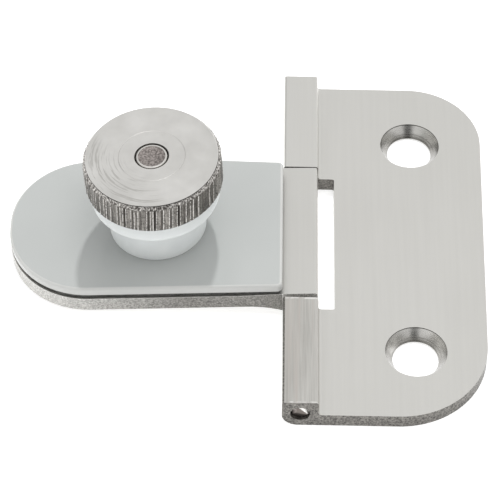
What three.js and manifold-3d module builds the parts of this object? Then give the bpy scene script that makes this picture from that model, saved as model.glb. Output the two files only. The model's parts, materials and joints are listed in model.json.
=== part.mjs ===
// Clamp-on hinge for a glass door, in millimetres, +Z up.
// It lies open on its wall face: the origin is the middle of that face, between the two screw holes.
// The hinge pin runs along Y; +X points away from the pin across the wall leaf.
import * as THREE from 'three';
import { mergeVertices } from 'three/addons/utils/BufferGeometryUtils.js';
import Module from 'manifold-3d';

const wasm = await Module();
wasm.setup();

// Wall leaf
const LEAF_LENGTH = 66.35;
const PLATE_REACH_BACK = 29;
const PLATE_REACH_FRONT = 28.2;
const PLATE_THICKNESS = 2.5;
const PLATE_CORNER_BACK = 11.6;
const PLATE_CORNER_FRONT = 13.7;
const KNUCKLE_SIZE = 5.4;
const KNUCKLE_EASE = 0.4;
const KNUCKLE_HEEL = 2.4;
const ROOT_FILLET = 1.0;
const NOTCH_BACK = 13.4;
const NOTCH_FRONT = 13.1;
const NOTCH_REACH = 5.3;
const NOTCH_CORNER = 0.3;

// Screw holes, countersunk from the top
const SCREW_REACH = 17.5;
const SCREW_SPACING = 41.9;
const SCREW_HOLE_RADIUS = 3.5;
const SCREW_THROAT = 0.45;
const SCREW_HEAD_RADIUS = 4.7;
const SCREW_LIP = 0.15;
const SCREW_BACK_CHAMFER = 0.35;

// Hinge pin
const PIN_RADIUS = 1.4;
const PIN_RECESS = 0.3;
const PIN_SEAT_CLEARANCE = 0.03;
const PIN_RUNNING_CLEARANCE = 0.08;
const PIN_HEIGHT = KNUCKLE_SIZE / 2;

// Glass leaf, in its own frame: origin on the pin axis, tongue towards -X, top face up
const TONGUE_REACH = 45;
const TONGUE_TOP = 2.6;
const TONGUE_MIDDLE = 0.2;
const TONGUE_FRONT = -12.7;
const TIP_FRONT_RADIUS = 12.9;
const TIP_BACK_RADIUS = 12.25;
const TIP_BACK = 13.75;
const BEND_REACH = 14;
const BEND_BACK = 13.6;
const BARREL_FRONT = -12.45;
const BARREL_BACK = 13.1;
const BARREL_TAPER = 9;
const BARREL_BOTTOM = -2.6;
const BARREL_HEEL = 1.5;
const HEEL_RUN = 9;
const HEEL_DEPTH = -1.35;
const TIP_CLEARANCE = 0.02;

// What the glass leaf carries, by height in the glass leaf's frame
const LAYER_GAP = 0.05;
const FILM_TOP = 3.4;
const FILM_INSET = 0.2;
const PAD_TOP = 4.9;
const PAD_INSET = 0.05;
const PAD_START = 2.6;
const PAD_BACK = 12.73;
const PAD_CORNER = 0.8;
const STUD_REACH = 21.7;
const STUD_RADIUS = 2.4;
const STUD_TOP = 20.55;
const STUD_HEAD_RADIUS = 3.6;
const STUD_HEAD_DEPTH = 1;
const STUD_CHAMFER = 0.35;
const PRESS_CLEARANCE = 0.03;
const PAD_HOLE_RADIUS = 2.9;
const SLEEVE_RADIUS = 7.65;
const SLEEVE_FLARE = 0.3;
const SLEEVE_EASE = 0.5;
const BUSH_BORE_RADIUS = 3;
const FLANGE_RADIUS = 10.2;
const FLANGE_BOTTOM = 11.9;
const FLANGE_EASE = 0.35;
const NUT_BOTTOM = 15.15;
const NUT_TOP = 20.6;
const NUT_RADIUS = 10.55;
const NUT_CHAMFER = 0.4;
const NUT_THREAD_RADIUS = 2.5;
const NUT_MOUTH_RADIUS = 2.65;
const NUT_MOUTH_DEPTH = 1;

const ROUND_STEPS = 64;
const SMALL_STEPS = 40;
const ARC_STEPS = 12;
const OVERCUT = 2;

function material(name, color, roughness, metalness) {
  return new THREE.MeshStandardMaterial({ name, color, roughness, metalness });
}

const SATIN_NICKEL = material('satin_nickel', 0xc9c7c1, 0.42, 1);
const PIN_STEEL = material('pin_steel', 0x9c958f, 0.35, 1);
const STUD_STEEL = material('stud_steel', 0x8f8682, 0.45, 1);
const PAD_PLASTIC = material('pad_plastic', 0xc6c9c8, 0.12, 0);
const BOND_FILM = material('bond_film', 0x3b3b38, 0.8, 0);
const NYLON = material('nylon', 0xe6e9ea, 0.35, 0);

// Closed geometry to a solid, and back
function toSolid(geometry) {
  const bare = geometry.clone();
  bare.deleteAttribute('normal');
  bare.deleteAttribute('uv');
  const merged = mergeVertices(bare, 1e-5);
  const index = merged.index.array;
  const triangles = [];
  for (let i = 0; i < index.length; i += 3) {
    const [a, b, c] = [index[i], index[i + 1], index[i + 2]];
    if (a !== b && b !== c && c !== a) triangles.push(a, b, c);
  }
  return new wasm.Manifold(new wasm.Mesh({
    numProp: 3,
    vertProperties: new Float32Array(merged.attributes.position.array),
    triVerts: new Uint32Array(triangles),
  }));
}

function toGeometry(solid) {
  const mesh = solid.getMesh();
  const geometry = new THREE.BufferGeometry();
  geometry.setAttribute('position', new THREE.BufferAttribute(mesh.vertProperties, 3));
  geometry.setIndex(new THREE.BufferAttribute(mesh.triVerts, 1));
  geometry.computeVertexNormals();
  return geometry;
}

function named(name, geometry, surface) {
  const mesh = new THREE.Mesh(geometry, surface);
  mesh.name = name;
  return mesh;
}

// A side outline, drawn as x across and z up, swept along Y about y = 0
function sweepAlongY(outline, length) {
  const sweep = { depth: length, bevelEnabled: false, curveSegments: ARC_STEPS };
  const geometry = new THREE.ExtrudeGeometry(outline, sweep);
  geometry.rotateX(Math.PI / 2);
  geometry.translate(0, length / 2, 0);
  return geometry;
}

// A plan outline, drawn as x and y, raised from z = low to z = high
function raise(outline, low, high) {
  const lift = { depth: high - low, bevelEnabled: false, curveSegments: ARC_STEPS * 2 };
  const geometry = new THREE.ExtrudeGeometry(outline, lift);
  geometry.translate(0, 0, low);
  return geometry;
}

// A profile of [radius, height] points turned about a vertical axis
function turn(profile, x, y, steps = ROUND_STEPS) {
  const points = profile.map(([radius, height]) => new THREE.Vector2(radius, height));
  const geometry = new THREE.LatheGeometry(points, steps);
  geometry.rotateX(Math.PI / 2);
  geometry.translate(x, y, 0);
  return geometry;
}

function rodAlongY(radius, length, z) {
  const geometry = new THREE.CylinderGeometry(radius, radius, length, SMALL_STEPS);
  geometry.translate(0, 0, z);
  return geometry;
}

function drill(radius, low, high) {
  return toSolid(turn([[0, low], [radius, low], [radius, high], [0, high]], -STUD_REACH, TONGUE_MIDDLE));
}

// Wall leaf: outer knuckles and plate are one stamping
function wallLeafSide() {
  const half = KNUCKLE_SIZE / 2;
  const outline = new THREE.Shape();
  outline.moveTo(-half + KNUCKLE_HEEL, 0);
  outline.lineTo(PLATE_REACH_BACK, 0);
  outline.lineTo(PLATE_REACH_BACK, PLATE_THICKNESS);
  outline.lineTo(half + ROOT_FILLET, PLATE_THICKNESS);
  outline.absarc(half + ROOT_FILLET, PLATE_THICKNESS + ROOT_FILLET, ROOT_FILLET,
    -Math.PI / 2, -Math.PI, true);
  outline.absarc(half - KNUCKLE_EASE, KNUCKLE_SIZE - KNUCKLE_EASE, KNUCKLE_EASE, 0, Math.PI / 2);
  outline.absarc(-half + KNUCKLE_EASE, KNUCKLE_SIZE - KNUCKLE_EASE, KNUCKLE_EASE, Math.PI / 2, Math.PI);
  outline.absarc(-half + KNUCKLE_HEEL, KNUCKLE_HEEL, KNUCKLE_HEEL, Math.PI, Math.PI * 1.5);
  return outline;
}

// The plate's outer edge reaches a little further at the back than at the front
function wallLeafPlan() {
  const half = LEAF_LENGTH / 2;
  const lean = Math.atan((PLATE_REACH_BACK - PLATE_REACH_FRONT) / LEAF_LENGTH);
  const frontCentre = PLATE_REACH_FRONT - PLATE_CORNER_FRONT * (1 - Math.sin(lean)) / Math.cos(lean);
  const backCentre = PLATE_REACH_BACK - PLATE_CORNER_BACK * (1 + Math.sin(lean)) / Math.cos(lean);
  const outline = new THREE.Shape();
  outline.moveTo(-KNUCKLE_SIZE, -half);
  outline.absarc(frontCentre, -half + PLATE_CORNER_FRONT, PLATE_CORNER_FRONT, -Math.PI / 2, -lean);
  outline.absarc(backCentre, half - PLATE_CORNER_BACK, PLATE_CORNER_BACK, -lean, Math.PI / 2);
  outline.lineTo(-KNUCKLE_SIZE, half);
  return outline;
}

function notchPlan() {
  const outline = new THREE.Shape();
  outline.moveTo(-KNUCKLE_SIZE, -NOTCH_FRONT);
  outline.absarc(NOTCH_REACH - NOTCH_CORNER, -NOTCH_FRONT + NOTCH_CORNER, NOTCH_CORNER, -Math.PI / 2, 0);
  outline.absarc(NOTCH_REACH - NOTCH_CORNER, NOTCH_BACK - NOTCH_CORNER, NOTCH_CORNER, 0, Math.PI / 2);
  outline.lineTo(-KNUCKLE_SIZE, NOTCH_BACK);
  return outline;
}

function screwCutter(y) {
  return toSolid(turn([
    [0, -OVERCUT],
    [SCREW_HOLE_RADIUS + SCREW_BACK_CHAMFER, -OVERCUT],
    [SCREW_HOLE_RADIUS + SCREW_BACK_CHAMFER, 0],
    [SCREW_HOLE_RADIUS, SCREW_BACK_CHAMFER],
    [SCREW_HOLE_RADIUS, SCREW_THROAT],
    [SCREW_HEAD_RADIUS, PLATE_THICKNESS - SCREW_LIP],
    [SCREW_HEAD_RADIUS, PLATE_THICKNESS + OVERCUT],
    [0, PLATE_THICKNESS + OVERCUT],
  ], SCREW_REACH, y));
}

function makeWallLeaf() {
  const boreRadius = PIN_RADIUS + PIN_SEAT_CLEARANCE;
  const solid = toSolid(sweepAlongY(wallLeafSide(), LEAF_LENGTH))
    .intersect(toSolid(raise(wallLeafPlan(), -OVERCUT, KNUCKLE_SIZE + OVERCUT)))
    .subtract(toSolid(raise(notchPlan(), -OVERCUT, KNUCKLE_SIZE + OVERCUT)))
    .subtract(toSolid(rodAlongY(boreRadius, LEAF_LENGTH + OVERCUT, PIN_HEIGHT)))
    .subtract(screwCutter(SCREW_SPACING / 2))
    .subtract(screwCutter(-SCREW_SPACING / 2));
  return named('wall_leaf', toGeometry(solid), SATIN_NICKEL);
}

function makeHingePin() {
  return named('hinge_pin', rodAlongY(PIN_RADIUS, LEAF_LENGTH - 2 * PIN_RECESS, PIN_HEIGHT), PIN_STEEL);
}

// Glass leaf: middle knuckle, a heel that thickens into it, and a round-ended tongue
function glassLeafSide() {
  const half = KNUCKLE_SIZE / 2;
  const bottom = BARREL_BOTTOM + BARREL_HEEL;
  const outline = new THREE.Shape();
  outline.moveTo(-TONGUE_REACH, 0);
  outline.lineTo(-HEEL_RUN, 0);
  outline.quadraticCurveTo(-(HEEL_RUN + half) / 2, 0, -half, HEEL_DEPTH);
  outline.quadraticCurveTo(-half, BARREL_BOTTOM, -half + BARREL_HEEL, BARREL_BOTTOM);
  outline.absarc(half - BARREL_HEEL, bottom, BARREL_HEEL, -Math.PI / 2, 0);
  outline.absarc(half - KNUCKLE_EASE, half - KNUCKLE_EASE, KNUCKLE_EASE, 0, Math.PI / 2);
  outline.lineTo(-half + KNUCKLE_EASE, half);
  outline.lineTo(-half, TONGUE_TOP);
  outline.lineTo(-TONGUE_REACH, TONGUE_TOP);
  return outline;
}

// The tongue's plan, from a straight end at x = start to the round tip. Its front side is square to the
// pin, and its back side goes from startBack through a faint bend out to the tip, which is fuller there.
function tonguePlan(start, startBack, inset) {
  const corner = PAD_CORNER;
  const outline = new THREE.Shape();
  outline.absarc(start - corner, TONGUE_FRONT + inset + corner, corner, -Math.PI / 2, 0);
  outline.absarc(start - corner, startBack - inset - corner, corner, 0, Math.PI / 2);
  outline.lineTo(-BEND_REACH, BEND_BACK - inset);
  outline.absarc(-TONGUE_REACH + TIP_BACK_RADIUS, TIP_BACK - TIP_BACK_RADIUS, TIP_BACK_RADIUS - inset,
    Math.PI / 2, Math.PI);
  outline.absarc(-TONGUE_REACH + TIP_FRONT_RADIUS, TONGUE_FRONT + TIP_FRONT_RADIUS,
    TIP_FRONT_RADIUS - inset, Math.PI, Math.PI * 1.5);
  return outline;
}

// What is cut off the tongue's front side so that it narrows to the middle knuckle
function barrelFrontPlan() {
  const outline = new THREE.Shape();
  outline.moveTo(-BARREL_TAPER, TONGUE_FRONT);
  outline.lineTo(-BARREL_TAPER, TONGUE_FRONT - OVERCUT);
  outline.lineTo(KNUCKLE_SIZE, TONGUE_FRONT - OVERCUT);
  outline.lineTo(KNUCKLE_SIZE, BARREL_FRONT);
  outline.lineTo(-KNUCKLE_SIZE / 2, BARREL_FRONT);
  return outline;
}

function makeGlassLeaf() {
  const boreRadius = PIN_RADIUS + PIN_RUNNING_CLEARANCE;
  const plan = tonguePlan(KNUCKLE_SIZE / 2 + PAD_CORNER, BARREL_BACK, 0);
  const headRadius = STUD_HEAD_RADIUS + PRESS_CLEARANCE;
  const sweepLength = 2 * TIP_BACK + OVERCUT;
  const solid = toSolid(sweepAlongY(glassLeafSide(), sweepLength))
    .intersect(toSolid(raise(plan, -KNUCKLE_SIZE, KNUCKLE_SIZE)))
    .subtract(toSolid(raise(barrelFrontPlan(), -KNUCKLE_SIZE, KNUCKLE_SIZE)))
    .subtract(toSolid(rodAlongY(boreRadius, sweepLength, 0)))
    .subtract(drill(STUD_RADIUS + PRESS_CLEARANCE, -OVERCUT, TONGUE_TOP + OVERCUT))
    .subtract(drill(headRadius, -OVERCUT, STUD_HEAD_DEPTH + LAYER_GAP));
  return named('glass_leaf', toGeometry(solid), SATIN_NICKEL);
}

function makeBondFilm() {
  const low = TONGUE_TOP + LAYER_GAP;
  const plan = tonguePlan(-PAD_START - FILM_INSET, PAD_BACK, FILM_INSET);
  const solid = toSolid(raise(plan, low, FILM_TOP))
    .subtract(drill(PAD_HOLE_RADIUS, 0, PAD_TOP + OVERCUT));
  return named('bond_film', toGeometry(solid), BOND_FILM);
}

function makeGlassPad() {
  const plan = tonguePlan(-PAD_START, PAD_BACK, PAD_INSET);
  const solid = toSolid(raise(plan, FILM_TOP + LAYER_GAP, PAD_TOP))
    .subtract(drill(PAD_HOLE_RADIUS, 0, PAD_TOP + OVERCUT));
  return named('glass_pad', toGeometry(solid), PAD_PLASTIC);
}

function makeClampStud() {
  const profile = [
    [0, 0],
    [STUD_HEAD_RADIUS, 0],
    [STUD_HEAD_RADIUS, STUD_HEAD_DEPTH],
    [STUD_RADIUS, STUD_HEAD_DEPTH],
    [STUD_RADIUS, STUD_TOP - STUD_CHAMFER],
    [STUD_RADIUS - STUD_CHAMFER, STUD_TOP],
    [0, STUD_TOP],
  ];
  return named('clamp_stud', turn(profile, -STUD_REACH, TONGUE_MIDDLE, SMALL_STEPS), STUD_STEEL);
}

function makeClampBush() {
  const top = NUT_BOTTOM - LAYER_GAP;
  const profile = [
    [BUSH_BORE_RADIUS, PAD_TOP + LAYER_GAP],
    [SLEEVE_RADIUS - SLEEVE_EASE, PAD_TOP + LAYER_GAP],
    [SLEEVE_RADIUS, PAD_TOP + LAYER_GAP + SLEEVE_EASE],
    [SLEEVE_RADIUS + SLEEVE_FLARE, FLANGE_BOTTOM],
    [FLANGE_RADIUS - FLANGE_EASE, FLANGE_BOTTOM],
    [FLANGE_RADIUS, FLANGE_BOTTOM + FLANGE_EASE],
    [FLANGE_RADIUS, top - FLANGE_EASE],
    [FLANGE_RADIUS - FLANGE_EASE, top],
    [BUSH_BORE_RADIUS, top],
    [BUSH_BORE_RADIUS, PAD_TOP + LAYER_GAP],
  ];
  return named('clamp_bush', turn(profile, -STUD_REACH, TONGUE_MIDDLE), NYLON);
}

function makeKnurledNut() {
  const profile = [
    [NUT_THREAD_RADIUS, NUT_BOTTOM],
    [NUT_RADIUS - NUT_CHAMFER, NUT_BOTTOM],
    [NUT_RADIUS, NUT_BOTTOM + NUT_CHAMFER],
    [NUT_RADIUS, NUT_TOP - NUT_CHAMFER],
    [NUT_RADIUS - NUT_CHAMFER, NUT_TOP],
    [NUT_MOUTH_RADIUS, NUT_TOP],
    [NUT_MOUTH_RADIUS, NUT_TOP - NUT_MOUTH_DEPTH],
    [NUT_THREAD_RADIUS, NUT_TOP - NUT_MOUTH_DEPTH],
    [NUT_THREAD_RADIUS, NUT_BOTTOM],
  ];
  return named('knurled_nut', turn(profile, -STUD_REACH, TONGUE_MIDDLE), SATIN_NICKEL);
}

// The glass leaf droops about the pin until its tip nearly meets the plane of the wall face
const glassSide = new THREE.Group();
glassSide.position.z = PIN_HEIGHT;
glassSide.rotation.y = -Math.asin((PIN_HEIGHT - TIP_CLEARANCE) / TONGUE_REACH);
glassSide.add(makeGlassLeaf(), makeBondFilm(), makeGlassPad());
glassSide.add(makeClampStud(), makeClampBush(), makeKnurledNut());

const hinge = new THREE.Group();
hinge.position.x = -SCREW_REACH;
hinge.add(makeWallLeaf(), makeHingePin(), glassSide);

export default hinge;
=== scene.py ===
"""Looks of the clamp-on glass door hinge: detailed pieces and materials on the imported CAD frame.

Lengths below are in millimetres and are scaled to metres when a mesh is made. Three local frames are
used: WALL has its origin on the wall face under the hinge pin, LEAF has its origin on the pin's axis
with the tongue towards -X, and STUD is LEAF moved to the stud's axis.
"""
import json
import math
import random

import bmesh
import bpy
from mathutils import Matrix, Vector


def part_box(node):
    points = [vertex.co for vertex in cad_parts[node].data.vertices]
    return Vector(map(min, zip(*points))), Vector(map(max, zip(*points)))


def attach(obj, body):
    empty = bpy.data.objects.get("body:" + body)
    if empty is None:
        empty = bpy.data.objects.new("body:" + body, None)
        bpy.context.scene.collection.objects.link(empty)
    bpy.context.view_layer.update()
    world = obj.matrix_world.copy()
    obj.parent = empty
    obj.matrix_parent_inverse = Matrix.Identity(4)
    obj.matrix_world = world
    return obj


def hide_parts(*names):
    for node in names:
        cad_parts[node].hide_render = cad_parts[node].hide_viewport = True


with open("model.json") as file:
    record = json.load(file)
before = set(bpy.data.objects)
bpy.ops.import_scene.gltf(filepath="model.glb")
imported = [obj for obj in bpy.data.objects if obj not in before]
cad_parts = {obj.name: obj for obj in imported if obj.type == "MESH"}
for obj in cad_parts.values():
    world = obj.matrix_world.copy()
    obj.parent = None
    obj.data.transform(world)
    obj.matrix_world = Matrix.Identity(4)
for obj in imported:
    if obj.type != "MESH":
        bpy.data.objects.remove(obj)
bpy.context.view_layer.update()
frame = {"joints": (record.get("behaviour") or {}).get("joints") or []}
MM = 0.001
SAGITTA = 0.004  # how far a rounded outline may stray from a true arc
OVERCUT = 1  # how far a cutting solid reaches past what it cuts


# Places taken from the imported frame

def joint(name):
    return next(j for j in frame["joints"] if j["name"] == name)


def size_of(node):
    low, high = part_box(node)
    return (Vector(high) - Vector(low)) / MM


PIN = Vector(joint("leaf_hinge")["pos_m"])
STUD_AXIS = Vector(joint("bush_lift")["axis"])
DROOP = math.atan2(-STUD_AXIS.x, STUD_AXIS.z)
WALL = Matrix.Translation((PIN.x, 0, 0))
LEAF = Matrix.Translation(PIN) @ Matrix.Rotation(-DROOP, 4, "Y")
NUT_PLACE = LEAF.inverted() @ Vector(joint("nut_spin")["pos_m"])
STUD = LEAF @ Matrix.Translation((NUT_PLACE.x, NUT_PLACE.y, 0))

# Wall leaf
LEAF_LENGTH = size_of("wall_leaf").y
PIN_HEIGHT = PIN.z / MM
KNUCKLE = 2 * PIN_HEIGHT
PLATE_REACH_BACK = 29.0
PLATE_REACH_FRONT = 28.2
PLATE_THICKNESS = 2.5
PLATE_CORNER_BACK = 11.6
PLATE_CORNER_FRONT = 13.7
KNUCKLE_EASE = 0.4
KNUCKLE_HEEL = 2.4
ROOT_FILLET = 0.6
NOTCH_BACK = 13.4
NOTCH_FRONT = 13.1
NOTCH_REACH = 5.3
NOTCH_CORNER = 0.3
SCREW_REACH = -PIN.x / MM
SCREW_SPACING = 41.9
SCREW_HOLE_RADIUS = 3.5
SCREW_THROAT = 0.45
SCREW_HEAD_RADIUS = 4.7
SCREW_LIP = 0.15
SCREW_BACK_CHAMFER = 0.35
ROUND_AT_HOLE = 0.05
ROUND_AT_KNUCKLE_END = 0.5
ROUND_AT_KNUCKLE = 0.3
ROUND_AT_BACK = 0.3
ROUND_ELSEWHERE = 0.12

# Hinge pin
PIN_RADIUS = 1.4
PIN_END_RADIUS = PIN_RADIUS - 0.08
PIN_LENGTH = size_of("hinge_pin").y
PIN_CLEARANCE = 0.06

# Glass leaf and what it carries, by height above the pin's axis
TONGUE_REACH = 45.0
TONGUE_TOP = 2.6
TONGUE_MIDDLE = NUT_PLACE.y / MM
TONGUE_FRONT = -12.7
TIP_FRONT_RADIUS = 12.9
TIP_BACK_RADIUS = 12.25
TIP_BACK = 13.75
BEND_REACH = 14.0
BEND_BACK = 13.6
BEND_EASE = 60.0
BARREL_FRONT = -12.45
BARREL_BACK = 13.1
BARREL_TAPER = 9.0
BARREL_BOTTOM = -2.6
BARREL_TIP_ROUND = 0.85
BARREL_WALL_ROUND = 1.5
HEEL_RUN = 9.0
HEEL_DEPTH = -1.35
FILM_BOTTOM = 2.65
FILM_TOP = 3.4
FILM_INSET = 0.2
PAD_BOTTOM = 3.45
PAD_TOP = 4.9
PAD_INSET = 0.05
PAD_START = 2.6
PAD_BACK = 12.73
PAD_CORNER = 0.8
PAD_EDGE = 0.5
STUD_REACH = -NUT_PLACE.x / MM
STUD_RADIUS = 2.4
STUD_TOP = 20.55
STUD_HEAD_RADIUS = 3.6
STUD_HEAD_DEPTH = 1.0
STUD_CHAMFER = 0.35
STUD_PRESS = 0.03
STUD_SEAT = 0.05
STUD_DRILL_RADIUS = 2.9
THREAD_PITCH = 0.8
THREAD_DEPTH = 0.42
SLEEVE_RADIUS = 7.65
SLEEVE_FLARE = 0.3
SLEEVE_LEAN = 0.12
BUSH_BOTTOM = PAD_TOP + 0.02
BUSH_BORE_RADIUS = 3.0
FLANGE_RADIUS = 10.2
FLANGE_BOTTOM = 11.9
NUT_BOTTOM = 15.15
FLANGE_TOP = NUT_BOTTOM - 0.05
NUT_TOP = 20.6
NUT_RADIUS = 10.55
NUT_TEETH = 56
NUT_TOOTH_DEPTH = 0.2
NUT_BURR = 0.08
NUT_TWIST = 0.0066  # radians for each millimetre of height
NUT_FACE_RADIUS = 10.05
NUT_MOUTH_RADIUS = 2.62
NUT_THREAD_RADIUS = 2.5
NUT_RING_RADIUS = 5.05
NUT_RING_DEPTH = 0.045

# View and stage, in metres: the aim is a place on the floor, measured from the middle of the pin
VIEW_ELEVATION = math.radians(49.96)
VIEW_ROLL = math.radians(1.06)
VIEW_DISTANCE = 0.4147
VIEW_AIM = (-0.00784, 0.00054)
VIEW_LENS = 190.6
FLOOR_HALF = 3.0


# Outlines: lists of (u, v) points, made from corners that may be eased to a radius

def eased(corners, closed=True):
    """Rounds each corner given as (u, v, radius); a corner given as (u, v) stays sharp."""
    points = []
    count = len(corners)
    for i, corner in enumerate(corners):
        here = Vector(corner[:2])
        radius = corner[2] if len(corner) > 2 else 0
        if radius == 0 or (not closed and i in (0, count - 1)):
            points.append(tuple(here))
            continue
        before = (Vector(corners[i - 1][:2]) - here).normalized()
        after = (Vector(corners[(i + 1) % count][:2]) - here).normalized()
        half = before.angle(after) / 2
        centre = here + (before + after).normalized() * (radius / math.sin(half))
        start = here + before * (radius / math.tan(half)) - centre
        end = here + after * (radius / math.tan(half)) - centre
        turn = start.angle_signed(end)
        steps = max(3, math.ceil(abs(turn) / (2 * math.acos(1 - SAGITTA / radius))))
        for step in range(steps + 1):
            spin = Matrix.Rotation(-turn * step / steps, 2)
            points.append(tuple(centre + spin @ start))
    return points


def curve(start, control, end, steps=10):
    """A quadratic curve, without its first point."""
    points = []
    for step in range(1, steps + 1):
        t = step / steps
        points.append(tuple(
            (1 - t) ** 2 * a + 2 * t * (1 - t) * b + t * t * c
            for a, b, c in zip(start, control, end)))
    return points


# Solids

def prism(outline, low, high, along):
    """Sweeps an outline along Y, from (x, z) points, or along Z, from (x, y) points."""
    shape = bmesh.new()
    place = {"Y": lambda p, d: (p[0], d, p[1]), "Z": lambda p, d: (p[0], p[1], d)}[along]
    near = [shape.verts.new(place(p, low)) for p in outline]
    far = [shape.verts.new(place(p, high)) for p in outline]
    shape.faces.new(near)
    shape.faces.new(far)
    for i in range(len(outline)):
        j = (i + 1) % len(outline)
        shape.faces.new((near[i], near[j], far[j], far[i]))
    return shape


def turned(profile, steps=96, radius_at=None):
    """Turns (radius, height) points about Z; the profile ends on the axis or closes on itself."""
    shape = bmesh.new()
    rings = []
    for radius, height in profile:
        if radius == 0:
            rings.append([shape.verts.new((0, 0, height))] * steps)
            continue
        ring = []
        for i in range(steps):
            angle = math.tau * i / steps
            r = radius_at(radius, height, angle) if radius_at else radius
            ring.append(shape.verts.new((r * math.cos(angle), r * math.sin(angle), height)))
        rings.append(ring)
    if profile[0] == profile[-1]:
        for vert in rings.pop():
            shape.verts.remove(vert)
        rings.append(rings[0])
    for lower, upper in zip(rings, rings[1:]):
        for i in range(steps):
            j = (i + 1) % steps
            corners = list(dict.fromkeys((lower[i], lower[j], upper[j], upper[i])))
            if len(corners) > 2:
                shape.faces.new(corners)
    return shape


def rod_along_y(radius, length, height=0, steps=64):
    """A plain round bar along Y at the given height, centred on y = 0."""
    ring = [(radius * math.cos(math.tau * i / steps), height + radius * math.sin(math.tau * i / steps))
            for i in range(steps)]
    return prism(ring, -length / 2, length / 2, "Y")


def as_object(name, shape, place):
    """Writes a solid to a new object, in metres, in the given local frame."""
    bmesh.ops.recalc_face_normals(shape, faces=shape.faces)
    bmesh.ops.scale(shape, vec=(MM, MM, MM), verts=shape.verts)
    mesh = bpy.data.meshes.new(name)
    shape.to_mesh(mesh)
    shape.free()
    piece = bpy.data.objects.new(name, mesh)
    bpy.context.scene.collection.objects.link(piece)
    piece.matrix_world = place
    return piece


def combine(piece, shape, operation):
    """Cuts or intersects a piece with another solid in the same local frame."""
    tool = as_object("tool", shape, piece.matrix_world)
    modifier = piece.modifiers.new("combine", "BOOLEAN")
    modifier.operation = operation
    modifier.object = tool
    modifier.solver = "EXACT"
    apply_modifiers(piece)
    bpy.data.objects.remove(tool)


def apply_modifiers(piece):
    """Replaces a piece's mesh with the one its modifiers make."""
    bpy.context.view_layer.update()
    evaluated = piece.evaluated_get(bpy.context.evaluated_depsgraph_get())
    mesh = bpy.data.meshes.new_from_object(evaluated)
    piece.modifiers.clear()
    old = piece.data
    piece.data = mesh
    bpy.data.meshes.remove(old)


def clean(piece):
    """Merges what booleans leave behind into flat faces with few points."""
    shape = bmesh.new()
    shape.from_mesh(piece.data)
    bmesh.ops.remove_doubles(shape, verts=shape.verts, dist=1e-6)
    bmesh.ops.dissolve_limit(shape, angle_limit=math.radians(0.5), verts=shape.verts, edges=shape.edges)
    shape.to_mesh(piece.data)
    shape.free()


def round_edges(piece, width_at, segments=3, angle=35):
    """Rounds every edge sharper than the angle; width_at(centre) in local millimetres gives the width."""
    mesh = piece.data
    shape = bmesh.new()
    shape.from_mesh(mesh)
    weight = shape.edges.layers.float.new("bevel_weight_edge")
    widest = 0.5
    for edge in shape.edges:
        if len(edge.link_faces) == 2 and edge.calc_face_angle() > math.radians(angle):
            centre = (edge.verts[0].co + edge.verts[1].co) / (2 * MM)
            edge[weight] = width_at(centre) / widest
    shape.to_mesh(mesh)
    shape.free()
    bevel = piece.modifiers.new("edges", "BEVEL")
    bevel.width = widest * MM
    bevel.segments = segments
    bevel.limit_method = "WEIGHT"
    bevel.miter_outer = "MITER_ARC"
    bevel.material = 0
    apply_modifiers(piece)


def smooth(piece, angle=40):
    """Shades a piece smooth between edges sharper than the angle, and keeps its large faces flat."""
    piece.data.shade_smooth()
    piece.data.set_sharp_from_angle(angle=math.radians(angle))
    normals = piece.modifiers.new("normals", "WEIGHTED_NORMAL")
    normals.keep_sharp = True
    normals.weight = 80
    apply_modifiers(piece)


def paint(piece, materials, choose=None):
    """Gives a piece its materials; choose(normal, centre) in local millimetres picks one of them."""
    for material in materials:
        piece.data.materials.append(material)
    if choose:
        for face in piece.data.polygons:
            face.material_index = materials.index(choose(face.normal, Vector(face.center) / MM))


def finish_piece(piece, node, body):
    """Hands a piece over: the body it rides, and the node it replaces."""
    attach(piece, body)
    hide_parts(node)


# Material building: add() makes a node, and sets or links its inputs

def add(tree, kind, inputs=(), **settings):
    node = tree.nodes.new(kind)
    for key, value in settings.items():
        setattr(node, key, value)
    for key, value in dict(inputs).items():
        put(tree, value, node.inputs[key])
    return node


def put(tree, value, socket):
    """Links a socket's value, or sets a plain one."""
    if isinstance(value, bpy.types.NodeSocket):
        tree.links.new(value, socket)
    elif socket.type == "RGBA":
        socket.default_value = (*value, 1)
    else:
        socket.default_value = value


def math_node(tree, operation, first, second=0.0):
    return add(tree, "ShaderNodeMath", {0: first, 1: second}, operation=operation).outputs[0]


def ramp(tree, value, from_low, from_high, low=0.0, high=1.0):
    """Maps a value between two ends in a straight line, and holds it at the ends."""
    ranged = add(tree, "ShaderNodeMapRange", {
        "Value": value, "From Min": from_low, "From Max": from_high, "To Min": low, "To Max": high})
    return ranged.outputs[0]


def mix_colours(tree, factor, first, second):
    mix = tree.nodes.new("ShaderNodeMix")
    mix.data_type = "RGBA"
    colours = [socket for socket in mix.inputs if socket.type == "RGBA"]
    for socket, value in zip([mix.inputs[0], *colours], (factor, first, second)):
        put(tree, value, socket)
    return next(socket for socket in mix.outputs if socket.type == "RGBA")


def noise(tree, vector, grain, detail=4.0, roughness=0.6):
    """Noise with the given grain, in cycles per millimetre along X, Y and Z, from about 0.3 to 0.7."""
    mapped = add(tree, "ShaderNodeMapping", {"Vector": vector, "Scale": [value / MM for value in grain]})
    made = add(tree, "ShaderNodeTexNoise", {
        "Vector": mapped.outputs[0], "Scale": 1.0, "Detail": detail, "Roughness": roughness})
    return made.outputs[0]


def bump(tree, height, strength, distance):
    inputs = {"Height": height, "Strength": strength, "Distance": distance * MM}
    return add(tree, "ShaderNodeBump", inputs).outputs[0]


def new_surface(name, metal=0.0):
    material = bpy.data.materials.new(name)
    material.use_nodes = True
    tree = material.node_tree
    bsdf = tree.nodes["Principled BSDF"]
    bsdf.inputs["Metallic"].default_value = metal
    return material, tree, bsdf


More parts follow.
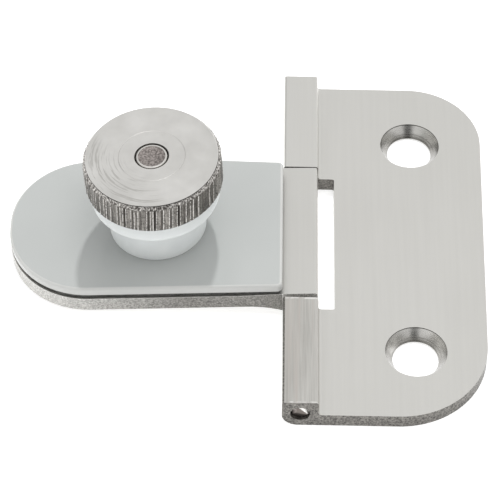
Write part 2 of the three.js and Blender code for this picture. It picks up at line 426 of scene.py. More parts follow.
def dress(tree, bsdf, **values):
    """Sets or links the shader's inputs: Base_Color stands for Base Color, and so on."""
    for key, value in values.items():
        put(tree, value, bsdf.inputs[key.replace("_", " ")])


def local_place(tree):
    return add(tree, "ShaderNodeTexCoord").outputs["Object"]


def ring_place(tree, centre=(0, 0)):
    """Distance from an axis along Z, with the position about it, so that noise runs in rings.

    A centre off the X axis stands for two axes, one on each side of it.
    """
    parts = add(tree, "ShaderNodeSeparateXYZ", {0: local_place(tree)})
    x = math_node(tree, "SUBTRACT", parts.outputs[0], centre[0] * MM)
    side = math_node(tree, "SIGN", parts.outputs[1])
    y = math_node(tree, "SUBTRACT", parts.outputs[1], math_node(tree, "MULTIPLY", side, centre[1] * MM))
    flat = add(tree, "ShaderNodeCombineXYZ", {0: x, 1: y})
    radius = add(tree, "ShaderNodeVectorMath", {0: flat.outputs[0]}, operation="LENGTH").outputs["Value"]
    rings = add(tree, "ShaderNodeCombineXYZ", {0: radius, 1: x, 2: y}).outputs[0]
    return rings, radius, y


# Materials

def brushed_nickel(name, dark, light, lines=1.0, warm=None, lit_ends=None):
    """Satin nickel with fine brush lines along the hinge pin.

    It may have warm streaks, and a painted highlight at each of its two ends, given as places along the
    pin.
    """
    material, tree, bsdf = new_surface(name, metal=1.0)
    where = local_place(tree)
    fine = noise(tree, where, (6.0, 0.12, 6.0), 4.0, 0.7)
    broad = noise(tree, where, (1.3, 0.035, 1.3), 3.0)
    cloud = noise(tree, where, (0.07, 0.05, 0.07), 2.0)
    strokes = math_node(tree, "ADD", fine, broad)
    tone = math_node(tree, "ADD",
                     ramp(tree, strokes, 0.65, 1.35, -0.4, 0.4),
                     ramp(tree, cloud, 0.3, 0.7, 0.3, 0.7))
    colour = mix_colours(tree, tone, dark, light)
    if warm:
        streaks = noise(tree, where, (1.5, 0.02, 1.5), 3.0)
        colour = mix_colours(tree, ramp(tree, streaks, 0.48, 0.68), colour, warm)
    # Painted highlight: an irregular bright strip at each end, where the edge catches the light.
    if lit_ends:
        middle = (lit_ends[0] + lit_ends[1]) / 2
        reach = abs(lit_ends[0] - lit_ends[1]) / 2
        along = add(tree, "ShaderNodeSeparateXYZ", {0: where}).outputs[1]
        off_middle = math_node(tree, "ABSOLUTE", math_node(tree, "SUBTRACT", along, middle * MM))
        off_end = math_node(tree, "ABSOLUTE", math_node(tree, "SUBTRACT", off_middle, reach * MM))
        patchy = ramp(tree, noise(tree, where, (0.7, 0.7, 0.7), 2.0), 0.42, 0.6)
        wear_and_sheen = math_node(tree, "MULTIPLY", ramp(tree, off_end, 0.22 * MM, 0.06 * MM), patchy)
        colour = mix_colours(tree, wear_and_sheen, colour, (0.88, 0.87, 0.84))
    dress(tree, bsdf,
          Base_Color=colour,
          Roughness=ramp(tree, fine, 0.3, 0.7, 0.34, 0.48),
          Normal=bump(tree, strokes, 0.22 * lines, 0.012))
    return material


def raw_edge(name, dark, light, painted_tip_light=None, metal=0.5):
    """The blasted and plated edge of a stamping: a fine sparkling grain, with painted light making it paler
    towards the tongue's tip.
    """
    material, tree, bsdf = new_surface(name, metal=metal)
    where = local_place(tree)
    grain = noise(tree, where, (3.6, 3.6, 3.6), 3.0, 0.65)
    specks = noise(tree, where, (5.5, 5.5, 5.5), 1.0)
    tone = math_node(tree, "ADD",
                     ramp(tree, grain, 0.33, 0.67),
                     ramp(tree, specks, 0.6, 0.72, 0.0, 0.55))
    colour = mix_colours(tree, tone, dark, light)
    # Painted light: paler towards the tongue's tip.
    if painted_tip_light:
        along = add(tree, "ShaderNodeSeparateXYZ", {0: where}).outputs[0]
        near_tip = ramp(tree, along, -18 * MM, -42 * MM)
        lit_tip = mix_colours(tree, tone, painted_tip_light, (0.8, 0.79, 0.76))
        colour = mix_colours(tree, near_tip, colour, lit_tip)
    dress(tree, bsdf,
          Base_Color=colour,
          Roughness=ramp(tree, grain, 0.3, 0.7, 0.5, 0.3),
          Normal=bump(tree, grain, 0.55, 0.05))
    return material


def turned_metal(name, dark, light, strength=0.3, rough=(0.3, 0.42), feed=None, centre=(0, 0)):
    """Metal cut on a lathe, with fine rings.

    With feed it also has coarse feed lines and painted shade towards the front; without, it has a patch
    where the tool chattered.
    """
    material, tree, bsdf = new_surface(name, metal=1.0)
    rings, _, back = ring_place(tree, centre)
    fine = noise(tree, rings, (6.0, 0.05, 0.05), 4.0, 0.7)
    cloud = noise(tree, local_place(tree), (0.16, 0.16, 0.16), 3.0)
    if feed:
        lines = ramp(tree, noise(tree, rings, (feed, 0.03, 0.03), 2.0, 0.5), 0.5, 0.64, 0.0, 0.6)
        # Painted shade: darker towards the front of the hole, added to the feed lines.
        darkening = math_node(tree, "ADD", lines, ramp(tree, back, 1.6 * MM, -0.8 * MM, 0.0, 1.1))
    else:
        chatter = noise(tree, rings, (3.2, 0.16, 0.16), 3.0, 0.7)
        toward = add(tree, "ShaderNodeVectorMath", {0: local_place(tree), 1: (-0.75, -0.65, 0.0)},
                     operation="DOT_PRODUCT").outputs["Value"]
        darkening = math_node(tree, "MULTIPLY",
                          ramp(tree, chatter, 0.53, 0.6),
                          ramp(tree, toward, 3 * MM, 7 * MM))
    tone = math_node(tree, "SUBTRACT", ramp(tree, cloud, 0.3, 0.7, 0.35, 1.0), darkening)
    height = math_node(tree, "SUBTRACT", fine, darkening)
    dress(tree, bsdf,
          Base_Color=mix_colours(tree, tone, dark, light),
          Roughness=ramp(tree, fine, 0.3, 0.7, *rough),
          Normal=bump(tree, height, strength, 0.012))
    return material


def knurl_metal():
    """The rolled knurl: painted shade in its grooves, streaks down its teeth, a painted highlight on its
    burrs, and a worn rim with a painted sheen.
    """
    material, tree, bsdf = new_surface("knurled_metal", metal=1.0)
    _, radius, _ = ring_place(tree)
    where = local_place(tree)
    grain = noise(tree, where, (4.0, 4.0, 3.0), 3.0, 0.65)
    streaks = noise(tree, where, (4.5, 4.5, 0.3), 3.0, 0.6)
    crest_at = NUT_RADIUS - NUT_BURR
    crest = ramp(tree, radius, (crest_at - 0.12) * MM, (crest_at - 0.01) * MM)
    burr = ramp(tree, radius, (NUT_RADIUS - 0.055) * MM, (NUT_RADIUS - 0.02) * MM)
    # Painted highlight: a bright line along the burrs at the crest.
    line = math_node(tree, "MULTIPLY", burr, ramp(tree, grain, 0.38, 0.52))
    tone = math_node(tree, "ADD",
                     ramp(tree, grain, 0.36, 0.64, 0.0, 0.5),
                     ramp(tree, streaks, 0.4, 0.6, 0.0, 0.5))
    body = mix_colours(tree, tone, (0.045, 0.041, 0.038), (0.29, 0.277, 0.256))
    # Painted shade: darker in the grooves.
    groove_shaded = mix_colours(tree, crest, (0.07, 0.064, 0.058), body)
    teeth = mix_colours(tree, line, groove_shaded, (0.82, 0.8, 0.77))
    # The top rim: speckled, worn and with a painted sheen.
    specks = noise(tree, where, (3.4, 3.4, 3.4), 3.0, 0.7)
    speckled = ramp(tree, specks, 0.44, 0.6)
    wear_and_sheen = mix_colours(tree, speckled, (0.1, 0.092, 0.085), (0.66, 0.64, 0.61))
    height = add(tree, "ShaderNodeSeparateXYZ", {0: where}).outputs[2]
    at_rim = ramp(tree, height, (NUT_TOP - 0.8) * MM, (NUT_TOP - 0.6) * MM)
    dress(tree, bsdf,
          Base_Color=mix_colours(tree, at_rim, teeth, wear_and_sheen),
          Roughness=ramp(tree, grain, 0.3, 0.7, 0.48, 0.32),
          Normal=bump(tree, grain, 0.5, 0.05))
    return material


def cut_steel(name, dark, light):
    """The dull end of a cut bar: coarse grain with a warm cast."""
    material, tree, bsdf = new_surface(name, metal=1.0)
    grain = noise(tree, local_place(tree), (3.2, 3.2, 3.2), 3.0, 0.7)
    dress(tree, bsdf,
          Base_Color=mix_colours(tree, ramp(tree, grain, 0.36, 0.64), dark, light),
          Roughness=ramp(tree, grain, 0.3, 0.7, 0.5, 0.34),
          Normal=bump(tree, grain, 0.6, 0.05))
    return material


def pad_plastic(name, dark, light, index, gloss):
    """Smooth pale grey plastic, with a faint dust on it."""
    material, tree, bsdf = new_surface(name)
    where = local_place(tree)
    cloud = noise(tree, where, (0.05, 0.05, 0.05), 2.0)
    dust = noise(tree, where, (0.9, 0.9, 0.9), 4.0)
    dress(tree, bsdf,
          Base_Color=mix_colours(tree, ramp(tree, cloud, 0.3, 0.7), dark, light),
          Roughness=ramp(tree, dust, 0.3, 0.7, 0.16, 0.26),
          Normal=bump(tree, dust, 0.15, 0.01),
          IOR=index,
          Specular_IOR_Level=gloss)
    return material


def bond_foam():
    """Dark foam tape, open-celled at its cut edge."""
    material, tree, bsdf = new_surface("bond_film")
    cells = noise(tree, local_place(tree), (2.5, 2.5, 5.0), 5.0, 0.7)
    dress(tree, bsdf,
          Base_Color=mix_colours(
              tree, ramp(tree, cells, 0.35, 0.65), (0.012, 0.012, 0.011), (0.1, 0.1, 0.092)),
          Roughness=ramp(tree, cells, 0.3, 0.7, 0.6, 0.85),
          Normal=bump(tree, cells, 0.8, 0.1))
    return material


def white_nylon(name, dark, light, glow):
    """Milky nylon. The faint glow stands for light that passes through the bush from behind."""
    material, tree, bsdf = new_surface(name)
    where = local_place(tree)
    cloud = noise(tree, where, (0.2, 0.2, 0.2), 3.0)
    skin = noise(tree, where, (1.5, 1.5, 1.5), 3.0)
    dress(tree, bsdf,
          Base_Color=mix_colours(tree, ramp(tree, cloud, 0.3, 0.7), dark, light),
          Roughness=ramp(tree, skin, 0.3, 0.7, 0.3, 0.42),
          Normal=bump(tree, skin, 0.12, 0.02),
          Subsurface_Weight=1.0,
          Subsurface_Radius=(1.0, 1.0, 1.05),
          Subsurface_Scale=0.01,
          Emission_Color=(0.96, 1.0, 0.99),
          Emission_Strength=glow)
    return material


def floor_white():
    """White and a little luminous, like a light table, so that no shadow greys it."""
    material, tree, bsdf = new_surface("floor_white")
    dress(tree, bsdf, Base_Color=(0.75, 0.75, 0.75), Roughness=0.9, Specular_IOR_Level=0.0,
          Emission_Color=(1, 1, 1), Emission_Strength=0.55)
    return material


NICKEL = brushed_nickel("satin_nickel", (0.66, 0.652, 0.622), (0.708, 0.7, 0.67))
# The front knuckle's nickel: darker and streaked, with a painted highlight at both ends.
STREAKED = brushed_nickel("streaked_nickel", (0.4, 0.389, 0.362), (0.71, 0.699, 0.667), 2.4,
                          warm=(0.57, 0.535, 0.5), lit_ends=(-NOTCH_FRONT - 0.22, 0.2 - LEAF_LENGTH / 2))
# Painted highlight: very bright nickel for the tongue's upper edges and a facet at each end of the pin.
HIGHLIGHT_NICKEL = brushed_nickel("painted_highlight_nickel", (0.78, 0.77, 0.74), (0.95, 0.94, 0.91))
EDGE = raw_edge("nickel_edge", (0.027, 0.025, 0.022), (0.28, 0.267, 0.245))
# Painted light: a pale, non-metal copy of the raw edge for the barrel's near end, so that the narrow gap in
# front of it is not black.
LIT_BARREL_END = raw_edge("lit_barrel_end", (0.3, 0.29, 0.27), (0.8, 0.78, 0.74), metal=0.0)
BORE = raw_edge("pin_bore", (0.03, 0.027, 0.024), (0.18, 0.165, 0.15))
TONGUE_EDGE = raw_edge("tongue_edge", (0.09, 0.086, 0.079), (0.32, 0.31, 0.287),
                       painted_tip_light=(0.35, 0.345, 0.325))
# Painted shade: near-black, for lower edges, the countersinks' lips and the nut's step.
PAINTED_SHADE_EDGE = raw_edge("painted_shade_edge", (0.01, 0.01, 0.009), (0.06, 0.056, 0.05))
# Countersinks: turned, with painted shade towards the front of each.
CONE = turned_metal("countersink", (0.32, 0.312, 0.295), (0.82, 0.81, 0.78), 0.4,
                    rough=(0.2, 0.3), feed=2.4, centre=(SCREW_REACH, SCREW_SPACING / 2))
TURNED = turned_metal("turned_nickel", (0.55, 0.54, 0.514), (0.765, 0.755, 0.73))
KNURL = knurl_metal()
PIN_METAL = turned_metal("pin_steel", (0.05, 0.042, 0.037), (0.26, 0.23, 0.21), 0.8)
STUD_METAL = turned_metal("stud_steel", (0.5, 0.49, 0.46), (0.8, 0.78, 0.75))
STUD_FACE = cut_steel("stud_end", (0.147, 0.13, 0.123), (0.49, 0.444, 0.42))
PAD = pad_plastic("pad_plastic", (0.4, 0.413, 0.405), (0.43, 0.443, 0.435), 1.5, 0.5)
# Painted light: a paler copy of the pad's plastic for its rounded edges and sides.
LIT_PAD_RIM = pad_plastic("lit_pad_rim", (0.485, 0.49, 0.476), (0.54, 0.545, 0.53), 1.45, 0.4)
FOAM = bond_foam()
NYLON = white_nylon("nylon", (0.4, 0.417, 0.417), (0.45, 0.463, 0.46), 0.21)
# Painted shade: a darker copy of the nylon with less glow, for the flange's underside.
NYLON_SHADE = white_nylon("nylon_shade", (0.4, 0.415, 0.415), (0.44, 0.452, 0.45), 0.14)


# Pieces

def make_wall_leaf():
    half = KNUCKLE / 2
    side = eased([
        (-half, 0, KNUCKLE_HEEL),
        (PLATE_REACH_BACK, 0),
        (PLATE_REACH_BACK, PLATE_THICKNESS),
        (half, PLATE_THICKNESS, ROOT_FILLET),
        (half, KNUCKLE, KNUCKLE_EASE),
        (-half, KNUCKLE, KNUCKLE_EASE),
    ])
    end = LEAF_LENGTH / 2
    plan = eased([
        (-KNUCKLE, -end),
        (PLATE_REACH_FRONT, -end, PLATE_CORNER_FRONT),
        (PLATE_REACH_BACK, end, PLATE_CORNER_BACK),
        (-KNUCKLE, end),
    ])
    notch = eased([
        (-KNUCKLE, -NOTCH_FRONT),
        (NOTCH_REACH, -NOTCH_FRONT, NOTCH_CORNER),
        (NOTCH_REACH, NOTCH_BACK, NOTCH_CORNER),
        (-KNUCKLE, NOTCH_BACK),
    ])
    piece = as_object("wall_leaf_body", prism(side, -end, end, "Y"), WALL)
    combine(piece, prism(plan, -OVERCUT, KNUCKLE + OVERCUT, "Z"), "INTERSECT")
    combine(piece, prism(notch, -OVERCUT, KNUCKLE + OVERCUT, "Z"), "DIFFERENCE")
    bore = rod_along_y(PIN_RADIUS + PIN_CLEARANCE, LEAF_LENGTH + 2 * OVERCUT, PIN_HEIGHT)
    combine(piece, bore, "DIFFERENCE")
    for y in (SCREW_SPACING / 2, -SCREW_SPACING / 2):
        cutter = turned(screw_profile())
        bmesh.ops.translate(cutter, vec=(SCREW_REACH, y, 0), verts=cutter.verts)
        combine(piece, cutter, "DIFFERENCE")
    clean(piece)
    round_edges(piece, wall_edge)
    paint(piece, [NICKEL, EDGE, CONE, STREAKED, PAINTED_SHADE_EDGE, BORE], wall_surface)
    smooth(piece)
    finish_piece(piece, "wall_leaf", "wall_side")


def screw_profile():
    """The space a countersunk screw takes, from below the plate to above it."""
    return [
        (0, -OVERCUT),
        (SCREW_HOLE_RADIUS + SCREW_BACK_CHAMFER, -OVERCUT),
        (SCREW_HOLE_RADIUS + SCREW_BACK_CHAMFER, 0),
        (SCREW_HOLE_RADIUS, SCREW_BACK_CHAMFER),
        (SCREW_HOLE_RADIUS, SCREW_THROAT),
        (SCREW_HEAD_RADIUS, PLATE_THICKNESS - SCREW_LIP),
        (SCREW_HEAD_RADIUS, PLATE_THICKNESS + OVERCUT),
        (0, PLATE_THICKNESS + OVERCUT),
    ]


def in_screw_hole(centre):
    off_axis = math.hypot(centre.x - SCREW_REACH, abs(centre.y) - SCREW_SPACING / 2)
    return off_axis < SCREW_HEAD_RADIUS + 0.05


def wall_surface(normal, centre):
    """Raw where it is cut, turned in the screw holes, streaked on the front knuckle, brushed elsewhere,
    with painted shade along the lower cut edges, at the countersinks' lips and along the front knuckle's
    upper left edge.
    """
    on_knuckle = abs(centre.x) < KNUCKLE / 2 + 0.1
    if in_screw_hole(centre) and abs(normal.z) < 0.99:
        at_lip = centre.z > PLATE_THICKNESS - SCREW_LIP and abs(normal.z) < 0.3
        # Painted shade: a dark line at the countersink's lip.
        return PAINTED_SHADE_EDGE if at_lip else CONE
    if math.hypot(centre.x, centre.z - PIN_HEIGHT) < PIN_RADIUS + 0.1 and abs(normal.y) < 0.5:
        return BORE
    cut = abs(normal.y) > 0.3 or centre.x > KNUCKLE
    # Painted shade along the lower cut edges.
    if cut and -0.97 < normal.z < -0.2:
        return PAINTED_SHADE_EDGE
    if cut and -0.2 < normal.z < 0.6:
        return EDGE
    # On the front knuckle, the upper left edge has painted shade in the darker cut-edge finish.
    if on_knuckle and centre.z > KNUCKLE / 2 and centre.y < -NOTCH_FRONT:
        return EDGE if normal.x < -0.3 and normal.z > 0.2 else STREAKED
    return NICKEL


def wall_edge(centre):
    """How far an edge is rounded: most at the back knuckle's end, least in the screw holes."""
    if in_screw_hole(centre):
        return ROUND_AT_HOLE
    if centre.z > KNUCKLE - 0.5 and centre.y > NOTCH_BACK + 1:
        return ROUND_AT_KNUCKLE_END
    if centre.z > PLATE_THICKNESS + 0.5 and abs(centre.x) < KNUCKLE / 2 + 0.1:
        return ROUND_AT_KNUCKLE
    if centre.z < 0.1:
        return ROUND_AT_BACK
    return ROUND_ELSEWHERE


def make_hinge_pin():
    """A pin sheared to length: each end is broken into slanting facets, one of them painted bright as a
    highlight.
    """
    end = PIN_LENGTH / 2
    rings = 9
    profile = [(PIN_END_RADIUS * i / rings, -end) for i in range(rings)]
    profile += [
        (PIN_END_RADIUS - 0.02, -end + 0.03),
        (PIN_END_RADIUS, -end + 0.12),
        (PIN_RADIUS, -end + 1.5),
    ]
    profile += [(r, -height) for r, height in reversed(profile)]
    shape = turned(profile, 64)
    for vert in shape.verts:
        if abs(vert.co.z) > end - 0.2:
            vert.co.z -= math.copysign(broken_off(vert.co.x, vert.co.y), vert.co.z)
    place = Matrix.Translation(PIN) @ Matrix.Rotation(math.radians(90), 4, "X")
    piece = as_object("hinge_pin_body", shape, place)
    paint(piece, [PIN_METAL, HIGHLIGHT_NICKEL, STUD_FACE], pin_surface)
    smooth(piece, 14)
    finish_piece(piece, "hinge_pin", "wall_side")


def pin_surface(normal, centre):
    """Dull, with painted light at each end: one facet painted bright as a highlight and one painted a
    middling tone.
    """
    if not 0.4 < abs(normal.z) < 0.95:
        return PIN_METAL
    # Painted light on two of the facets at each end.
    if normal.x > 0.2 and normal.y > 0.2:
        return HIGHLIGHT_NICKEL
    return STUD_FACE if normal.x < -0.2 else PIN_METAL


def broken_off(x, y):
    """How far the end of the pin falls back at a point, by the deepest of its facets.

    Each facet has a direction, where it starts along that direction, and a slope.
    """
    facets = ((0.75, 0.66, 0.6, 0.8), (-1.0, 0.1, 0.55, 0.5), (-0.3, -0.95, 0.2, 0.25))
    return max(0, *(slope * (x * across + y * up - start) for across, up, start, slope in facets))


def make_glass_leaf():
    half = KNUCKLE / 2
    heel_end = (-half, HEEL_DEPTH)
    side = [(-TONGUE_REACH, 0), (-HEEL_RUN, 0)]
    side += curve((-HEEL_RUN, 0), (-(HEEL_RUN + half) / 2, 0), heel_end)
    side += eased([
        heel_end,
        (-half, BARREL_BOTTOM, BARREL_TIP_ROUND),
        (half, BARREL_BOTTOM, BARREL_WALL_ROUND),
        (half, half, KNUCKLE_EASE),
        (-half + KNUCKLE_EASE, half),
        (-half, TONGUE_TOP),
        (-TONGUE_REACH, TONGUE_TOP),
    ], closed=False)[1:]
    piece = as_object("glass_leaf_body", prism(side, -TIP_BACK - OVERCUT, TIP_BACK + OVERCUT, "Y"), LEAF)
    plan = tongue_plan(half + OVERCUT, BARREL_BACK, 0)
    combine(piece, prism(plan, -KNUCKLE, KNUCKLE, "Z"), "INTERSECT")
    front = [
        (-BARREL_TAPER, TONGUE_FRONT),
        (-BARREL_TAPER, TONGUE_FRONT - OVERCUT),
        (KNUCKLE, TONGUE_FRONT - OVERCUT),
        (KNUCKLE, BARREL_FRONT),
        (-half, BARREL_FRONT),
    ]
    combine(piece, prism(front, -KNUCKLE, KNUCKLE, "Z"), "DIFFERENCE")
    combine(piece, rod_along_y(PIN_RADIUS + PIN_CLEARANCE, 4 * TIP_BACK), "DIFFERENCE")
    hole = turned([
        (0, -OVERCUT),
        (STUD_HEAD_RADIUS + STUD_PRESS, -OVERCUT),
        (STUD_HEAD_RADIUS + STUD_PRESS, STUD_HEAD_DEPTH + STUD_SEAT),
        (STUD_RADIUS + STUD_PRESS, STUD_HEAD_DEPTH + STUD_SEAT),
        (STUD_RADIUS + STUD_PRESS, TONGUE_TOP + OVERCUT),
        (0, TONGUE_TOP + OVERCUT),
    ])
    bmesh.ops.translate(hole, vec=(-STUD_REACH, TONGUE_MIDDLE, 0), verts=hole.verts)
    combine(piece, hole, "DIFFERENCE")
    clean(piece)
    round_edges(piece, lambda centre: 0.16 if centre.z > 0.1 else 0.2)
    paint(piece, [NICKEL, TONGUE_EDGE, PAINTED_SHADE_EDGE, HIGHLIGHT_NICKEL, LIT_BARREL_END], tongue_surface)
    smooth(piece)
    finish_piece(piece, "glass_leaf", "glass_side")


def tongue_surface(normal, centre):
    """Raw round its rim, with painted shade along the lower edge and a painted highlight along the upper
    one, brushed elsewhere; the barrel's near end is painted light.
    """
    # Painted light on the barrel's near end.
    if centre.x > -KNUCKLE / 2 - 0.1 and normal.y < -0.9:
        return LIT_BARREL_END
    cut = abs(normal.y) > 0.3 or centre.x < -TONGUE_REACH / 2
    # Painted shade along the lower edge.
    if cut and -0.97 < normal.z < -0.2:
        return PAINTED_SHADE_EDGE
    if cut and -0.2 < normal.z < 0.3:
        return TONGUE_EDGE
    # Painted highlight along the upper edge.
    return HIGHLIGHT_NICKEL if cut and normal.z < 0.97 and centre.z > 0.1 else NICKEL


def tongue_plan(start, start_back, inset):
    """Plan of the tongue and its layers: a straight end at x = start and a round tip.

    The front side is square to the pin. The back side goes from start_back through a faint bend out to
    the tip, which is fuller there.
    """
    back_centre = (-TONGUE_REACH + TIP_BACK_RADIUS, TIP_BACK - TIP_BACK_RADIUS)
    front_centre = (-TONGUE_REACH + TIP_FRONT_RADIUS, TONGUE_FRONT + TIP_FRONT_RADIUS)
    straight = eased([
        (front_centre[0], TONGUE_FRONT + inset),
        (start, TONGUE_FRONT + inset, PAD_CORNER),
        (start, start_back - inset, PAD_CORNER),
        (-BEND_REACH, BEND_BACK - inset, BEND_EASE),
        (back_centre[0], TIP_BACK - inset),
    ], closed=False)
    back = quarter_turn(back_centre, TIP_BACK_RADIUS - inset, 90)
    front = quarter_turn(front_centre, TIP_FRONT_RADIUS - inset, 180)
    return straight[:-1] + back + front[:-1]


def quarter_turn(centre, radius, start, steps=36):
    """Points on an arc of 90 degrees, counter-clockwise from the angle start."""
    angles = [math.radians(start + 90 * step / steps) for step in range(steps + 1)]
    return [(centre[0] + radius * math.cos(a), centre[1] + radius * math.sin(a)) for a in angles]


def make_bond_film():
    """The tape is cut by hand, so its edge wanders a little."""
    plan = wandering(tongue_plan(-PAD_START - FILM_INSET, PAD_BACK, FILM_INSET))
    piece = as_object("bond_film_layer", prism(plan, FILM_BOTTOM, FILM_TOP, "Z"), LEAF)
    combine(piece, stud_drill(), "DIFFERENCE")
    clean(piece)
    paint(piece, [FOAM])
    smooth(piece)
    finish_piece(piece, "bond_film", "glass_side")


def wandering(plan, step=0.7, depth=0.3):
    """Splits an outline that runs counter-clockwise into short steps and draws them in unevenly."""
    draw = random.Random(5)
    points = []
    inset = 0
    for here, there in zip(plan, plan[1:] + plan[:1]):
        run = Vector(there) - Vector(here)
        inward = Vector((-run.y, run.x)).normalized()
        steps = max(1, round(run.length / step))
        for i in range(steps):
            inset += (draw.uniform(0, depth) - inset) * 0.6
            points.append(tuple(Vector(here) + run * (i / steps) + inward * inset))
    return points


def stud_drill():
    """The hole that the stud passes through in the film and the pad."""
    top = PAD_TOP + OVERCUT
    drill = turned([(0, 0), (STUD_DRILL_RADIUS, 0), (STUD_DRILL_RADIUS, top), (0, top)], 64)
    bmesh.ops.translate(drill, vec=(-STUD_REACH, TONGUE_MIDDLE, 0), verts=drill.verts)
    return drill


def make_glass_pad():
    plan = tongue_plan(-PAD_START, PAD_BACK, PAD_INSET)
    piece = as_object("glass_pad_plate", prism(plan, PAD_BOTTOM, PAD_TOP, "Z"), LEAF)
    combine(piece, stud_drill(), "DIFFERENCE")
    clean(piece)
    round_edges(piece, lambda centre: PAD_EDGE if centre.z > PAD_TOP - 0.1 else 0.1, 6)
    # Painted light on the rounded edges and sides.
    paint(piece, [PAD, LIT_PAD_RIM], lambda normal, centre: LIT_PAD_RIM if normal.z < 0.95 else PAD)
    smooth(piece)
    finish_piece(piece, "glass_pad", "glass_side")


def thread_radius(radius, height, angle):
    """A right-hand V thread cut into the shank of the stud."""
    if radius < STUD_RADIUS - STUD_CHAMFER or height < STUD_HEAD_DEPTH + 0.2:
        return radius
    turn = (height / THREAD_PITCH - angle / math.tau) % 1
    groove = abs(turn - 0.5) * 2
    cut = THREAD_DEPTH * max(0, min(1, 1.15 * groove - 0.1))
    return min(radius, STUD_RADIUS - cut)


def make_clamp_stud():
    """The rivet head below, the threaded shank, and an end that is dished inside a bright rim."""
    rise = THREAD_PITCH / 8
    profile = [
        (0, 0),
        (STUD_HEAD_RADIUS - 0.1, 0),
        (STUD_HEAD_RADIUS, 0.1),
        (STUD_HEAD_RADIUS, STUD_HEAD_DEPTH),
        (STUD_RADIUS, STUD_HEAD_DEPTH),
    ]
    height = STUD_HEAD_DEPTH + rise
    while height < STUD_TOP - 0.9:
        profile.append((STUD_RADIUS, height))
        height += rise
    rim = STUD_RADIUS - STUD_CHAMFER
    shank = len(profile)
    profile += [
        (STUD_RADIUS - 0.01, STUD_TOP - 0.8),
        (STUD_RADIUS - 0.01, STUD_TOP - 0.2),
        (STUD_RADIUS - 0.08, STUD_TOP - 0.04),
        (STUD_RADIUS - 0.16, STUD_TOP),
        (rim + 0.03, STUD_TOP - 0.02),
        (rim, STUD_TOP - 0.12),
        (rim - 0.06, STUD_TOP - 0.14),
        (0, STUD_TOP - 0.1),
    ]
    plain_from = profile[shank][1] - 0.01
    shape = turned(profile, 64, lambda r, z, angle: r if z > plain_from else thread_radius(r, z, angle))
    piece = as_object("clamp_stud_body", shape, STUD)
    paint(piece, [STUD_METAL, STUD_FACE], stud_surface)
    smooth(piece, 50)
    finish_piece(piece, "clamp_stud", "glass_side")


def stud_surface(normal, centre):
    """Dull inside the bright rim of its end, bright elsewhere."""
    in_rim = math.hypot(centre.x, centre.y) < STUD_RADIUS - STUD_CHAMFER
    return STUD_FACE if centre.z > STUD_TOP - 0.15 and in_rim else STUD_METAL


def make_clamp_bush():
    """The bush hangs loose on the stud, its sleeve leaning towards the tip."""
    profile = eased([
        (BUSH_BORE_RADIUS, BUSH_BOTTOM, 0.2),
        (SLEEVE_RADIUS - 0.2, BUSH_BOTTOM, 0.35),
        (SLEEVE_RADIUS + SLEEVE_FLARE, FLANGE_BOTTOM, 1.2),
        (FLANGE_RADIUS - 0.35, FLANGE_BOTTOM, 0.9),
        (FLANGE_RADIUS - 0.25, FLANGE_TOP, 0.4),
        (BUSH_BORE_RADIUS, FLANGE_TOP, 0.2),
    ])
    shape = turned(profile + profile[:1], 128)
    for vert in shape.verts:
        vert.co.x -= SLEEVE_LEAN * max(0, FLANGE_BOTTOM - vert.co.z) / (FLANGE_BOTTOM - BUSH_BOTTOM)
    piece = as_object("clamp_bush_body", shape, STUD)
    # Painted shade on the flange's underside.
    paint(piece, [NYLON, NYLON_SHADE], lambda normal, centre: NYLON_SHADE if normal.z < -0.8 else NYLON)
    smooth(piece, 60)
    finish_piece(piece, "clamp_bush", "bush")


def knurl_radius(radius, height, angle):
    """Straight knurl: broad worn teeth, each with a V groove somewhere and most with burrs beside it.

    Two values from 0 to 1, scattered from the tooth's number, make every tooth different.
    """
    tooth, phase = divmod(angle * NUT_TEETH / math.tau, 1)
    wear = math.sin(tooth * 12.9898) * 43758.5453 % 1
    other = math.sin(tooth * 78.233) * 24634.6345 % 1
    groove_at = 0.25 + 0.4 * wear
    groove = max(0, 1 - abs(phase - groove_at) / 0.17)
    burr = max(0, 1 - abs(phase - groove_at - 0.2) / 0.12) if other > 0.2 else 0
    if wear > 0.4:
        burr = max(burr, 1 - abs(phase - groove_at + 0.22) / 0.1)
    crest = NUT_RADIUS - NUT_BURR * (1 - burr) - NUT_TOOTH_DEPTH * (0.4 + 0.6 * other) * groove
    return min(radius, crest)


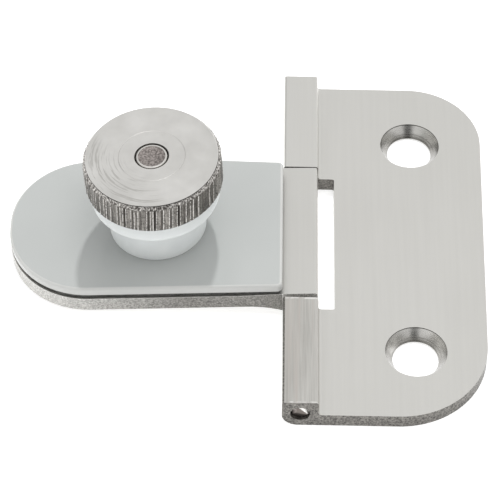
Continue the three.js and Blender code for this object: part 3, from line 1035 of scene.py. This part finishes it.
def make_knurled_nut():
    """A faced disc with a fine step at its rim, a tool mark round the middle, and the knurl below."""
    profile = [
        (NUT_THREAD_RADIUS, NUT_BOTTOM),
        (NUT_FACE_RADIUS, NUT_BOTTOM),
        (NUT_RADIUS - 0.3, NUT_BOTTOM + 0.05),
        (NUT_RADIUS, NUT_BOTTOM + 0.4),
        (NUT_RADIUS, NUT_TOP - 0.72),
        (NUT_RADIUS - 0.3, NUT_TOP - 0.32),
        (NUT_FACE_RADIUS + 0.06, NUT_TOP - 0.17),
        (NUT_FACE_RADIUS, NUT_TOP - 0.06),
        (NUT_FACE_RADIUS - 0.07, NUT_TOP),
        (NUT_RING_RADIUS + 0.07, NUT_TOP),
        (NUT_RING_RADIUS, NUT_TOP - NUT_RING_DEPTH),
        (NUT_RING_RADIUS - 0.07, NUT_TOP),
        (NUT_MOUTH_RADIUS + 0.06, NUT_TOP),
        (NUT_MOUTH_RADIUS, NUT_TOP - 0.06),
        (NUT_MOUTH_RADIUS, NUT_TOP - 1),
        (NUT_THREAD_RADIUS, NUT_TOP - 1.2),
        (NUT_THREAD_RADIUS, NUT_BOTTOM),
    ]
    shape = turned(profile, NUT_TEETH * 12, knurl_radius)
    for vert in shape.verts:
        vert.co = Matrix.Rotation(NUT_TWIST * (vert.co.z - NUT_BOTTOM), 3, "Z") @ vert.co
    piece = as_object("knurled_nut_body", shape, STUD)
    paint(piece, [TURNED, KNURL, PAINTED_SHADE_EDGE], nut_surface)
    smooth(piece, 25)
    finish_piece(piece, "knurled_nut", "nut")


def nut_surface(normal, centre):
    """Turned on its faces, knurled outside, with a painted shade line at the step between them."""
    radius = math.hypot(centre.x, centre.y)
    if centre.z > NUT_TOP - 0.3 and NUT_FACE_RADIUS < radius < NUT_FACE_RADIUS + 0.06:
        return PAINTED_SHADE_EDGE
    return KNURL if radius > NUT_FACE_RADIUS + 0.02 else TURNED


# Stage

def make_floor():
    shape = bmesh.new()
    corners = ((-1, -1), (1, -1), (1, 1), (-1, 1))
    shape.faces.new([shape.verts.new((x * FLOOR_HALF, y * FLOOR_HALF, 0)) for x, y in corners])
    mesh = bpy.data.meshes.new("floor")
    shape.to_mesh(mesh)
    shape.free()
    mesh.materials.append(floor_white())
    floor = bpy.data.objects.new("floor", mesh)
    bpy.context.scene.collection.objects.link(floor)


def make_camera():
    """A long lens, high in front and square to the hinge pin."""
    aim = Vector((PIN.x + VIEW_AIM[0], VIEW_AIM[1], 0))
    back = Vector((0, -math.cos(VIEW_ELEVATION), math.sin(VIEW_ELEVATION)))
    data = bpy.data.cameras.new("camera")
    data.sensor_width = 36
    data.lens = VIEW_LENS
    data.clip_start = 0.01
    camera = bpy.data.objects.new("camera", data)
    bpy.context.scene.collection.objects.link(camera)
    turn = (-back).to_track_quat("-Z", "Y").to_matrix().to_4x4()
    place = Matrix.Translation(aim + back * VIEW_DISTANCE)
    camera.matrix_world = place @ turn @ Matrix.Rotation(VIEW_ROLL, 4, "Z")
    bpy.context.scene.camera = camera


def softbox(name, place, size, power, glossy=True):
    """A lamp turned to the origin. One that isn't glossy lights surfaces but shows in no reflection."""
    data = bpy.data.lights.new(name, "AREA")
    data.shape = "RECTANGLE"
    data.size, data.size_y = size
    data.energy = power
    lamp = bpy.data.objects.new(name, data)
    bpy.context.scene.collection.objects.link(lamp)
    lamp.location = place
    lamp.visible_glossy = glossy
    lamp.rotation_mode = "QUATERNION"
    lamp.rotation_quaternion = (-Vector(place)).to_track_quat("-Z", "Y")


def darker(tree, where, direction, outer, inner, depth):
    """How much of the room's light is left near a direction.

    It is 1 outside a cone and 1 - depth inside a smaller one, which are given by angles in degrees.
    """
    toward = Vector(direction).normalized()
    along = add(tree, "ShaderNodeVectorMath", {0: where, 1: toward},
                operation="DOT_PRODUCT").outputs["Value"]
    edge, core = (math.cos(math.radians(angle)) for angle in (outer, inner))
    return ramp(tree, along, edge, core, 1.0, 1 - depth)


def make_light():
    """A white room, dark where someone stands in front and dim at the far left, with three lamps.

    A softbox and a fill hang overhead, and a small key light behind throws the knob's shadow.
    """
    scene = bpy.context.scene
    scene.view_settings.view_transform = "Standard"
    world = bpy.data.worlds.new("room")
    scene.world = world
    world.use_nodes = True
    tree = world.node_tree
    where = add(tree, "ShaderNodeTexCoord").outputs["Generated"]
    person = darker(tree, where, (0.1, -0.9, 0.36), 21, 12, 0.9)
    corner = darker(tree, where, (-0.76, 0.64, 0.03), 55, 15, 0.5)
    light = math_node(tree, "MULTIPLY", math_node(tree, "MULTIPLY", person, corner), 0.9)
    background = tree.nodes["Background"]
    background.inputs["Color"].default_value = (1, 1, 1, 1)
    put(tree, light, background.inputs["Strength"])
    softbox("softbox", (0.1, -0.12, 1.2), (0.6, 0.6), 1.3)
    softbox("fill", (0.1, -0.12, 1.2), (0.6, 0.6), 2.2, glossy=False)
    softbox("key", (0.02, 0.64, 1.07), (0.06, 0.06), 7, glossy=False)


make_camera()
make_floor()
make_light()
make_wall_leaf()
make_hinge_pin()
make_glass_leaf()
make_bond_film()
make_glass_pad()
make_clamp_stud()
make_clamp_bush()
make_knurled_nut()
